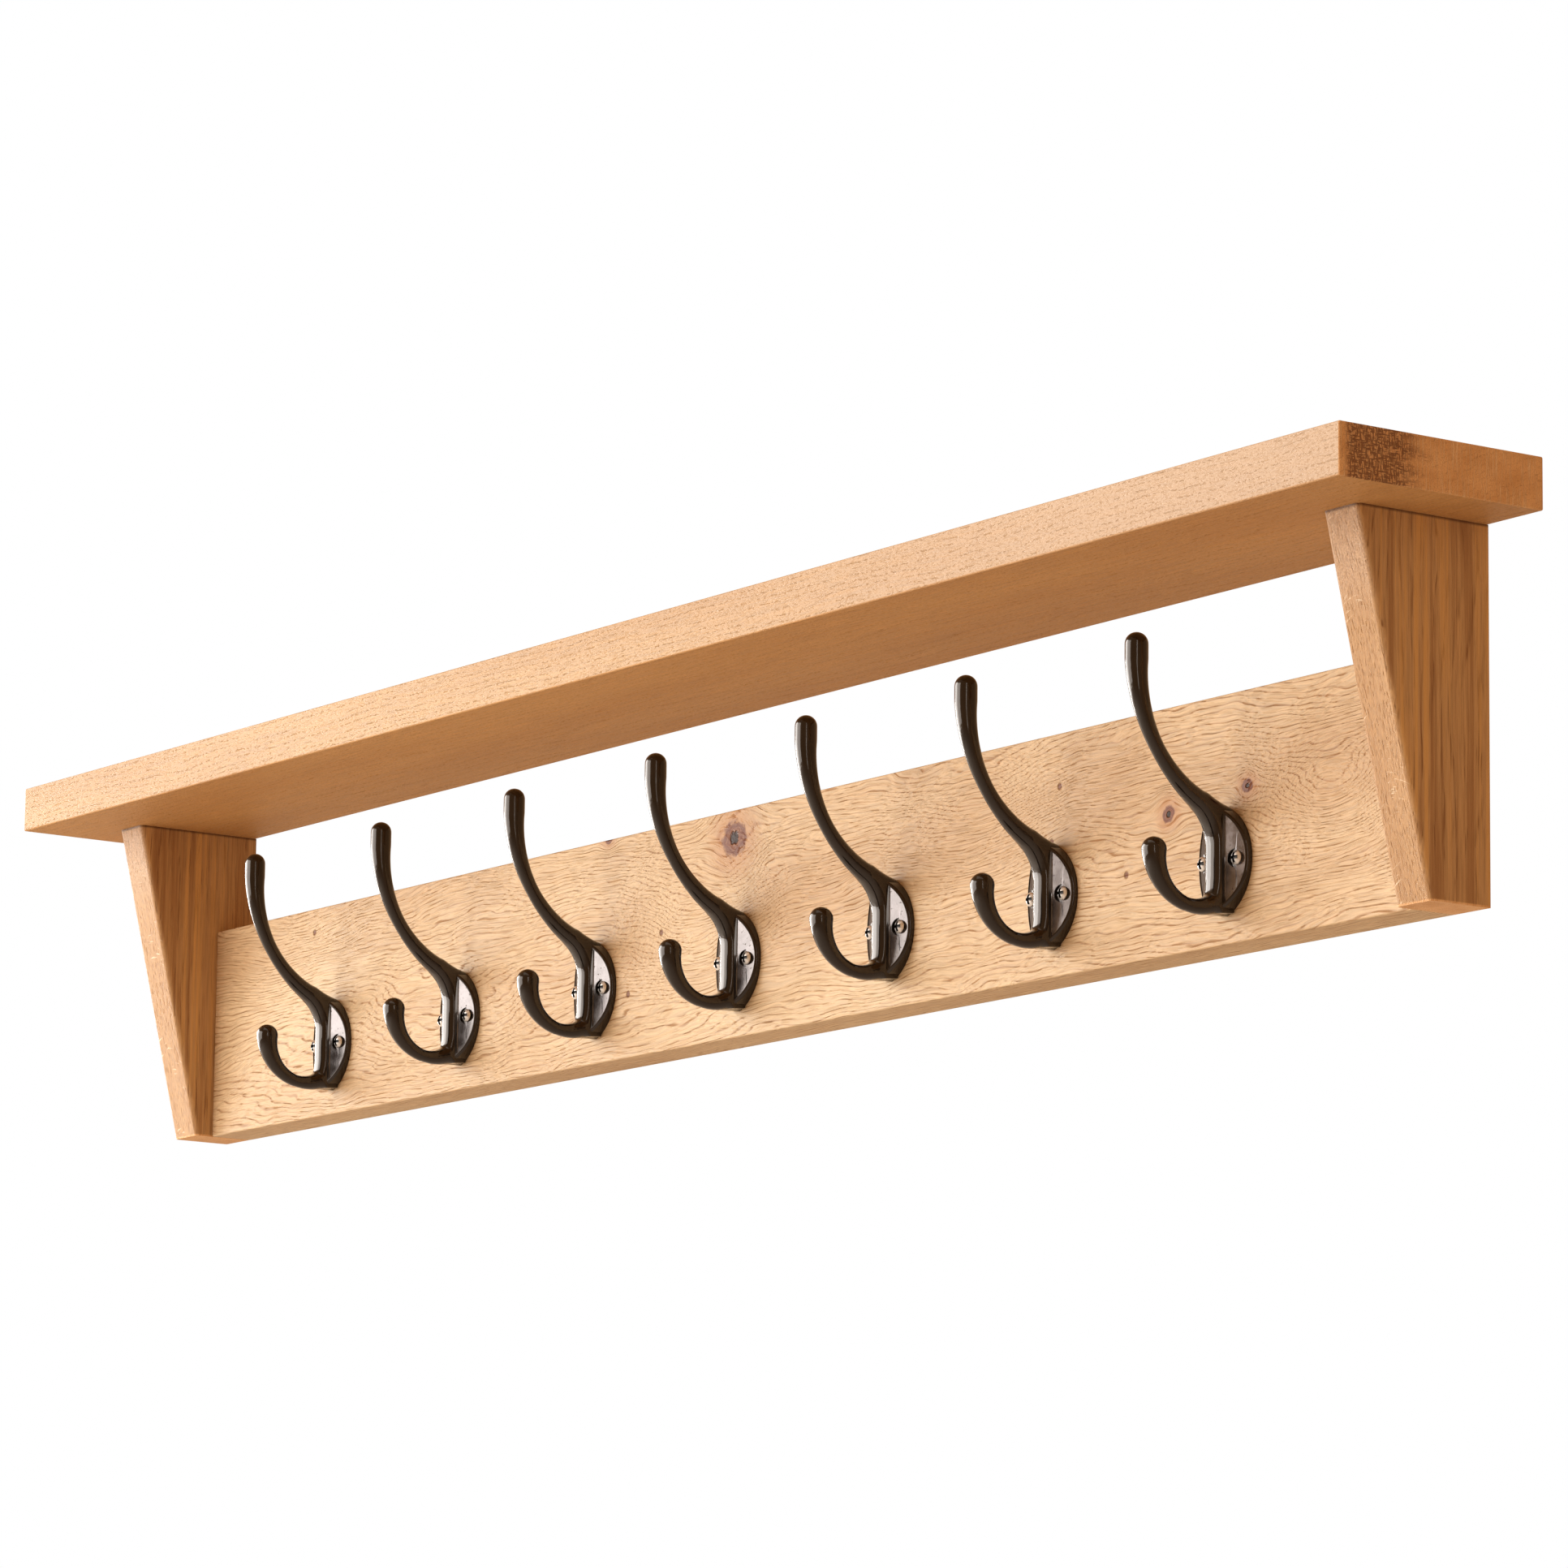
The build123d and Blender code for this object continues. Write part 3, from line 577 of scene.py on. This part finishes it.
hook_numbers = range(1, 8)
hook_top = 95.0
plate_half_width = 17.2
plate_half_height = 24.0
plate_point_radius = 2.6
plate_ridge = 9.5
plate_edge = 2.3
plate_round = 1.1
plate_rim = 1.3
panel_depth = 0.55
panel_gap = 0.9
web_half_width = 5.65
web_reach = 10.0
web_round = 4.4
seat_offset = 11.6
seat_radius = 4.3
seat_height = 4.3
hole_radius = 1.9
cutter_length = 20
millimetre = 0.001


def at(out, up, across=0.0):
    """A point of the hook by its distance out from the board and up from its screws."""
    return Vector((across, -out, up))


def bend_arm(
    work, tip_out, bend_up, bend_radius, root_angle, straight, root_radius, waist, waist_at, tip_radius
):
    """An arm that leaves the web, bends upwards and swells from its waist to a ball at its tip."""
    middle = at(tip_out - bend_radius, bend_up)
    ring = bmesh.ops.create_circle(
        work, segments=32, radius=1.0, matrix=Matrix.Translation(at(tip_out, bend_up))
    )
    edges = list({edge for vert in ring["verts"] for edge in vert.link_edges})
    before = set(work.verts) - set(ring["verts"])
    bmesh.ops.spin(work, geom=ring["verts"] + edges, cent=middle, axis=(1, 0, 0), angle=root_angle, steps=48)
    for vert in [vert for vert in work.verts if vert not in before]:
        from_middle = vert.co - middle
        turned = Vector((-from_middle.y, -from_middle.z))
        share = 1 - (turned.length and Vector((1, 0)).angle(turned)) / root_angle
        if share < waist_at:
            radius = waist + (root_radius - waist) * (1 - share / waist_at) ** 2
            half_width = radius + (web_half_width - root_radius) * (1 - share / waist_at) ** 2
        else:
            radius = waist + (tip_radius - waist) * ((share - waist_at) / (1 - waist_at)) ** 1.5
            half_width = radius
        direction = turned.normalized() * (bend_radius + (turned.length - bend_radius) * radius)
        vert.co = middle + Vector((vert.co.x * half_width, -direction.x, -direction.y))
    tip = [
        edge
        for edge in work.edges
        if edge.is_boundary and all(abs(vert.co.z - bend_up) < 1e-3 for vert in edge.verts)
    ]
    risen = bmesh.ops.extrude_edge_only(work, edges=tip)
    risen_verts = [part for part in risen["geom"] if isinstance(part, bmesh.types.BMVert)]
    bmesh.ops.translate(work, verts=risen_verts, vec=(0, 0, straight))
    bmesh.ops.holes_fill(work, edges=[edge for edge in work.edges if edge.is_boundary], sides=0)
    bmesh.ops.create_uvsphere(
        work, u_segments=40, v_segments=24, radius=tip_radius,
        matrix=Matrix.Translation(at(tip_out, bend_up + straight)),
    )


def finish_mesh(name, work):
    """Turns a worked shape into an object in the scene."""
    mesh = bpy.data.meshes.new(name)
    work.to_mesh(mesh)
    work.free()
    made = bpy.data.objects.new(name, mesh)
    bpy.context.collection.objects.link(made)
    return made


def apply_modifiers(piece):
    """Makes a piece's modifiers part of its mesh."""
    shaped = bpy.data.meshes.new_from_object(piece.evaluated_get(bpy.context.evaluated_depsgraph_get()))
    piece.modifiers.clear()
    piece.data = shaped


def soften(work, verts, passes):
    """Smooths some of a shape's vertices, a number of times over."""
    for _ in range(passes):
        bmesh.ops.smooth_vert(
            work, verts=verts, factor=0.5, use_axis_x=True, use_axis_y=True, use_axis_z=True
        )


# Web and arms, run together by remeshing and smoothing as a casting's fillets are. The web is drawn from the
# side by its corners, three of which are rounded, and given its width. Its front and its brow are rounded.
rounded_corners = ((3, 3.0), (4, 9.0), (7, 5.0))
work = bmesh.new()
corners = [
    at(0.4, -23.2), at(7.7, -23.8), at(11.1, -15.3), at(web_reach, -11.0),
    at(web_reach, 15.8), at(18.2, 21.3), at(13.8, 29.3), at(7.0, 25.4), at(0.4, 23.6),
]
profile = [work.verts.new(corner + Vector((-web_half_width, 0, 0))) for corner in corners]
work.faces.new(profile)
for place, run in rounded_corners:
    bmesh.ops.bevel(
        work, geom=[profile[place]], offset=run, segments=10, profile=0.5, affect="VERTICES", material=-1
    )
flank = bmesh.ops.extrude_face_region(work, geom=work.faces[:])
flank_verts = [part for part in flank["geom"] if isinstance(part, bmesh.types.BMVert)]
bmesh.ops.translate(work, verts=flank_verts, vec=(2 * web_half_width, 0, 0))
front = [
    edge
    for edge in work.edges
    if abs(edge.verts[0].co.x - edge.verts[1].co.x) < 1e-4
    and all(-vert.co.y > web_reach - 0.01 and -18 < vert.co.z < 22 for vert in edge.verts)
]
bmesh.ops.bevel(work, geom=front, offset=web_round, segments=8, profile=0.5, affect="EDGES", material=-1)
brow = [
    edge
    for edge in work.edges
    if abs(edge.verts[0].co.x - edge.verts[1].co.x) < 1e-4
    and abs(abs(edge.verts[0].co.x) - web_half_width) < 1e-4
    and all(vert.co.z > 23.5 and -vert.co.y < 13.9 for vert in edge.verts)
]
bmesh.ops.bevel(work, geom=brow, offset=4.0, segments=6, profile=0.5, affect="EDGES", material=-1)
bend_arm(
    work, tip_out=50.0, bend_up=83.0, bend_radius=66.0, root_angle=radians(61), straight=6.8,
    root_radius=4.6, waist=3.3, waist_at=0.43, tip_radius=5.2,
)
bend_arm(
    work, tip_out=40.2, bend_up=1.2, bend_radius=22.4, root_angle=radians(112), straight=0.2,
    root_radius=4.6, waist=3.2, waist_at=0.33, tip_radius=5.6,
)
bmesh.ops.recalc_face_normals(work, faces=work.faces)
spine = finish_mesh("hook_spine", work)
fuse = spine.modifiers.new("fuse", "REMESH")
fuse.mode = "VOXEL"
fuse.voxel_size = 0.5
apply_modifiers(spine)
work = bmesh.new()
work.from_mesh(spine.data)
soften(work, work.verts[:], passes=3)
joints = [
    vert
    for vert in work.verts
    if 4 < -vert.co.y < 24 and (14 < vert.co.z < 34 or -28 < vert.co.z < -8)
]
soften(work, joints, passes=14)
work.to_mesh(spine.data)
work.free()

# Plate: two equal arcs make its outline, which is raised to a ridge down the middle
arc_radius = (plate_half_height**2 + plate_half_width**2) / (2 * plate_half_width)
slope = (plate_ridge - plate_edge) / plate_half_width
facing = Matrix.Rotation(pi / 2, 4, "X")


def everything(work):
    """All of a shape's vertices, edges and faces."""
    return work.verts[:] + work.edges[:] + work.faces[:]


def cut_lens(work, radius, start):
    """A flat lens: what a circle on the plate's arc centre has past a start line, and its mirror."""
    bmesh.ops.create_circle(
        work, cap_ends=True, segments=128, radius=radius,
        matrix=Matrix.Translation((plate_half_width - arc_radius, 0, 0)) @ facing,
    )
    bmesh.ops.bisect_plane(
        work, geom=everything(work), plane_co=(start, 0, 0), plane_no=(1, 0, 0), clear_inner=True
    )
    bmesh.ops.remove_doubles(work, verts=work.verts, dist=0.2)
    bmesh.ops.mirror(work, geom=everything(work), axis="X", merge_dist=0.02)


def raise_lens(work, out, sink):
    """Thickens a lens outwards from the gabled face, or, with no height given, from the board to it."""
    raised = bmesh.ops.extrude_face_region(work, geom=work.faces[:])
    risen = [part for part in raised["geom"] if isinstance(part, bmesh.types.BMVert)]
    for vert in work.verts:
        gable = -(plate_ridge - abs(vert.co.x) * slope - sink)
        if out:
            vert.co.y = -out if vert in risen else gable
        else:
            vert.co.y = gable if vert in risen else 0
    bmesh.ops.recalc_face_normals(work, faces=work.faces)


work = bmesh.new()
cut_lens(work, arc_radius, 0)
middle_line = [edge for edge in work.edges if all(abs(vert.co.x) < 0.01 for vert in edge.verts)]
bmesh.ops.dissolve_edges(work, edges=middle_line, use_verts=False)
points = [vert for vert in work.verts if abs(abs(vert.co.z) - plate_half_height) < 0.05]
bmesh.ops.bevel(
    work, geom=points, offset=plate_point_radius, segments=6, profile=0.5, affect="VERTICES", material=-1
)
bmesh.ops.bisect_plane(work, geom=everything(work), plane_co=(0, 0, 0), plane_no=(1, 0, 0))
bmesh.ops.remove_doubles(work, verts=work.verts, dist=0.2)
raise_lens(work, 0, 0)
plate_rim_edges = [
    edge
    for edge in work.edges
    if sorted(abs(face.normal.y) < 0.05 for face in edge.link_faces) == [False, True]
    and all(-vert.co.y > 1 for vert in edge.verts)
]
bmesh.ops.bevel(
    work, geom=plate_rim_edges, offset=plate_round, segments=4, profile=0.5, affect="EDGES", material=-1
)
plate = finish_mesh("hook_plate", work)

# What is cut out of the plate: the two sunk panels, the screw seats and the screw holes. The web is joined on
work = bmesh.new()
cut_lens(work, arc_radius - plate_rim, web_half_width + panel_gap)
raise_lens(work, cutter_length, panel_depth)
for face in work.faces:
    # The right panel takes the rubbed finish, and the left one the darker copy that is painted shade
    face.material_index = 1 if face.calc_center_median().x > 0 else 2
panels = finish_mesh("hook_panels", work)
cutters = [("panels", panels)]
for name, radius, floor_of_cut in (("seats", seat_radius, seat_height), ("holes", hole_radius, -1.0)):
    work = bmesh.new()
    for side in (-1, 1):
        bmesh.ops.create_cone(
            work, cap_ends=True, segments=48, radius1=radius, radius2=radius, depth=cutter_length,
            matrix=Matrix.Translation((side * seat_offset, -floor_of_cut - cutter_length / 2, 0)) @ facing,
        )
    cutters.append((name, finish_mesh(f"hook_{name}", work)))
for name, other in (*cutters, ("web", spine)):
    join = plate.modifiers.new(name, "BOOLEAN")
    join.operation = "UNION" if name == "web" else "DIFFERENCE"
    join.solver = "MANIFOLD"
    join.object = other

# Dark bronze: brown-black and satin, but rubbed bright and pitted on the right panel; the left panel gets a
# dull, darker copy, painted shade
bronze, tree, shader, here = start_material("dark_bronze")
shader.inputs["Metallic"].default_value = 0.75
shader.inputs["Coat Weight"].default_value = 0.8
shader.inputs["Coat Roughness"].default_value = 0.06
cloudy = speckle(tree, here, (90, 90, 90), 3.0).outputs["Fac"]
grit = speckle(tree, here, (1500, 1500, 1500), 2.0).outputs["Fac"]
tone = blend_colours(tree, cloudy, (0.012, 0.0085, 0.006), (0.024, 0.016, 0.011))
tree.links.new(tone, shader.inputs["Base Color"])
tree.links.new(fade(tree, cloudy, 0.3, 0.7, 0.18, 0.26), shader.inputs["Roughness"])
raise_surface(tree, shader, grit, 0.00004, 0.4)

rubbed, tree, shader, here = start_material("rubbed_bronze")
shader.inputs["Metallic"].default_value = 0.9
cloudy = speckle(tree, here, (160, 160, 160), 4.0, 0.6).outputs["Fac"]
grit = speckle(tree, here, (2200, 2200, 2200), 2.0).outputs["Fac"]
pitted = fade(tree, speckle(tree, here, (700, 700, 700), 1.0).outputs["Fac"], 0.66, 0.74)
tone = blend_colours(tree, fade(tree, cloudy, 0.3, 0.7), (0.195, 0.185, 0.188), (0.270, 0.257, 0.263))
tree.links.new(blend_colours(tree, pitted, tone, (0.08, 0.070, 0.066)), shader.inputs["Base Color"])
tree.links.new(fade(tree, cloudy, 0.3, 0.7, 0.12, 0.20), shader.inputs["Roughness"])
raise_surface(tree, shader, sum_up(tree, "SUBTRACT", grit, pitted), 0.00002, 0.4)

# Painted shade: a dull, dark copy of the panel finish for the left panel, standing in for its dark reflection
dull, tree, shader, here = start_material("painted_shade_bronze")
shader.inputs["Specular IOR Level"].default_value = 0.1
cloudy = speckle(tree, here, (160, 160, 160), 4.0, 0.6).outputs["Fac"]
grit = speckle(tree, here, (2200, 2200, 2200), 2.0).outputs["Fac"]
tone = blend_colours(tree, cloudy, (0.055, 0.036, 0.024), (0.095, 0.066, 0.046))
tree.links.new(tone, shader.inputs["Base Color"])
tree.links.new(fade(tree, cloudy, 0.3, 0.7, 0.5, 0.7), shader.inputs["Roughness"])
raise_surface(tree, shader, grit, 0.00002, 0.4)

for piece in (plate, spine, *(cutter for name, cutter in cutters)):
    for finish in (bronze, rubbed, dull):
        piece.data.materials.append(finish)
apply_modifiers(plate)
plate.data.set_sharp_from_angle(angle=radians(32))
for number in hook_numbers:
    low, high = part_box(f"hook_{number}")
    hook_mesh = plate.data.copy()
    hook_mesh.transform(
        Matrix.Translation(((low.x + high.x) / 2, high.y, high.z - hook_top * millimetre))
        @ Matrix.Scale(millimetre, 4)
    )
    hook = bpy.data.objects.new(f"cast_hook_{number}", hook_mesh)
    bpy.context.collection.objects.link(hook)
    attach(hook, "root")
    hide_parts(f"hook_{number}")
for spare in (spine, plate, *(cutter for name, cutter in cutters)):
    bpy.data.objects.remove(spare)

# The hook screws: round-head wood screws with a cross recess, zinc plated, one each side of a hook's web.
# Their recesses, and a thin margin round them, are painted black as painted shade.

screw_low, screw_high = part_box("hook_1_screw_right")
next_screw_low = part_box("hook_2_screw_right")[0]
screw_pitch = next_screw_low.x - screw_low.x
recess_reach = 0.0024
recess_half_width = 0.00085
recess_fade = 0.0002
screw_line = (screw_low.z + screw_high.z) / 2
screw_offset = seat_offset * millimetre

bright_zinc, tree, shader, here = start_material("bright_zinc")
shader.inputs["Metallic"].default_value = 0.9
apart = tree.nodes.new("ShaderNodeSeparateXYZ")
tree.links.new(here, apart.inputs[0])
from_hook = sum_up(tree, "PINGPONG", apart.outputs["X"], screw_pitch / 2)
across = sum_up(tree, "ABSOLUTE", sum_up(tree, "SUBTRACT", from_hook, screw_offset))
up = sum_up(tree, "ABSOLUTE", sum_up(tree, "SUBTRACT", apart.outputs["Z"], screw_line))
longest = sum_up(tree, "MAXIMUM", across, up)
shortest = sum_up(tree, "MINIMUM", across, up)
longer = fade(tree, longest, recess_reach - recess_fade, recess_reach, 1.0, 0.0)
narrower = fade(tree, shortest, recess_half_width - recess_fade, recess_half_width, 1.0, 0.0)
# Painted shade: the cross recess and a thin margin round it are painted near black
recess = sum_up(tree, "MULTIPLY", longer, narrower)
cloudy = speckle(tree, here, (900, 900, 900), 3.0).outputs["Fac"]
tone = blend_colours(tree, cloudy, (0.72, 0.71, 0.69), (0.88, 0.87, 0.85))
tree.links.new(blend_colours(tree, recess, tone, (0.012, 0.010, 0.009)), shader.inputs["Base Color"])
tree.links.new(fade(tree, cloudy, 0.3, 0.7, 0.26, 0.40), shader.inputs["Roughness"])
for number in hook_numbers:
    for side in ("left", "right"):
        coat_node(f"hook_{number}_screw_{side}", bright_zinc)

# The dowels: plain beech pegs with chamfered ends, glued into blind sockets, that join the brackets to the
# shelf and to the back board. They are turned from pale beech with short brown flecks, and are hidden.

beech, tree, shader, here = start_material("beech_dowel")
mottle = speckle(tree, here, (60, 60, 60), 3.0).outputs["Fac"]
ticks = fade(tree, speckle(tree, here, (900, 900, 900), 1.0).outputs["Fac"], 0.60, 0.70)
tone = blend_colours(tree, fade(tree, mottle, 0.3, 0.7), (0.66, 0.46, 0.28), (0.56, 0.37, 0.21))
tone = blend_colours(tree, sum_up(tree, "MULTIPLY", ticks, 0.6), tone, (0.34, 0.18, 0.09))
tree.links.new(tone, shader.inputs["Base Color"])
tree.links.new(fade(tree, mottle, 0.3, 0.7, 0.55, 0.70), shader.inputs["Roughness"])
raise_surface(tree, shader, ticks, 0.00005)
for side in ("left", "right"):
    for row in ("back", "front"):
        coat_node(f"shelf_dowel_{side}_{row}", beech)
    for number in (1, 2, 3):
        coat_node(f"board_dowel_{side}_{number}", beech)

# The hanging plates: pressed steel keyhole plates, zinc plated, let into the back of each bracket and held by
# two small countersunk screws. The plating is spangled, and rubbed dull where it has been handled.

plated_steel, tree, shader, here = start_material("plated_steel")
shader.inputs["Metallic"].default_value = 1.0
spangle = tree.nodes.new("ShaderNodeTexVoronoi")
feed(tree, spangle.inputs["Vector"], here)
spangle.inputs["Scale"].default_value = 420
cast = sum_vectors(tree, "DOT_PRODUCT", spangle.outputs["Color"], (0.33, 0.33, 0.33))
scuffs = fade(tree, speckle(tree, here, (700, 300, 60), 3.0, 0.6).outputs["Fac"], 0.52, 0.68)
tone = blend_colours(tree, cast, (0.46, 0.47, 0.47), (0.66, 0.66, 0.64))
scuffed = blend_colours(tree, sum_up(tree, "MULTIPLY", scuffs, 0.5), tone, (0.30, 0.30, 0.29))
tree.links.new(scuffed, shader.inputs["Base Color"])
tree.links.new(sum_up(tree, "MULTIPLY_ADD", scuffs, 0.25, 0.26), shader.inputs["Roughness"])
raise_surface(tree, shader, scuffs, 0.00003)
for side in ("left", "right"):
    coat_node(f"hanging_plate_{side}", plated_steel)
    for row in ("lower", "upper"):
        coat_node(f"hanging_plate_{side}_screw_{row}", plated_steel)
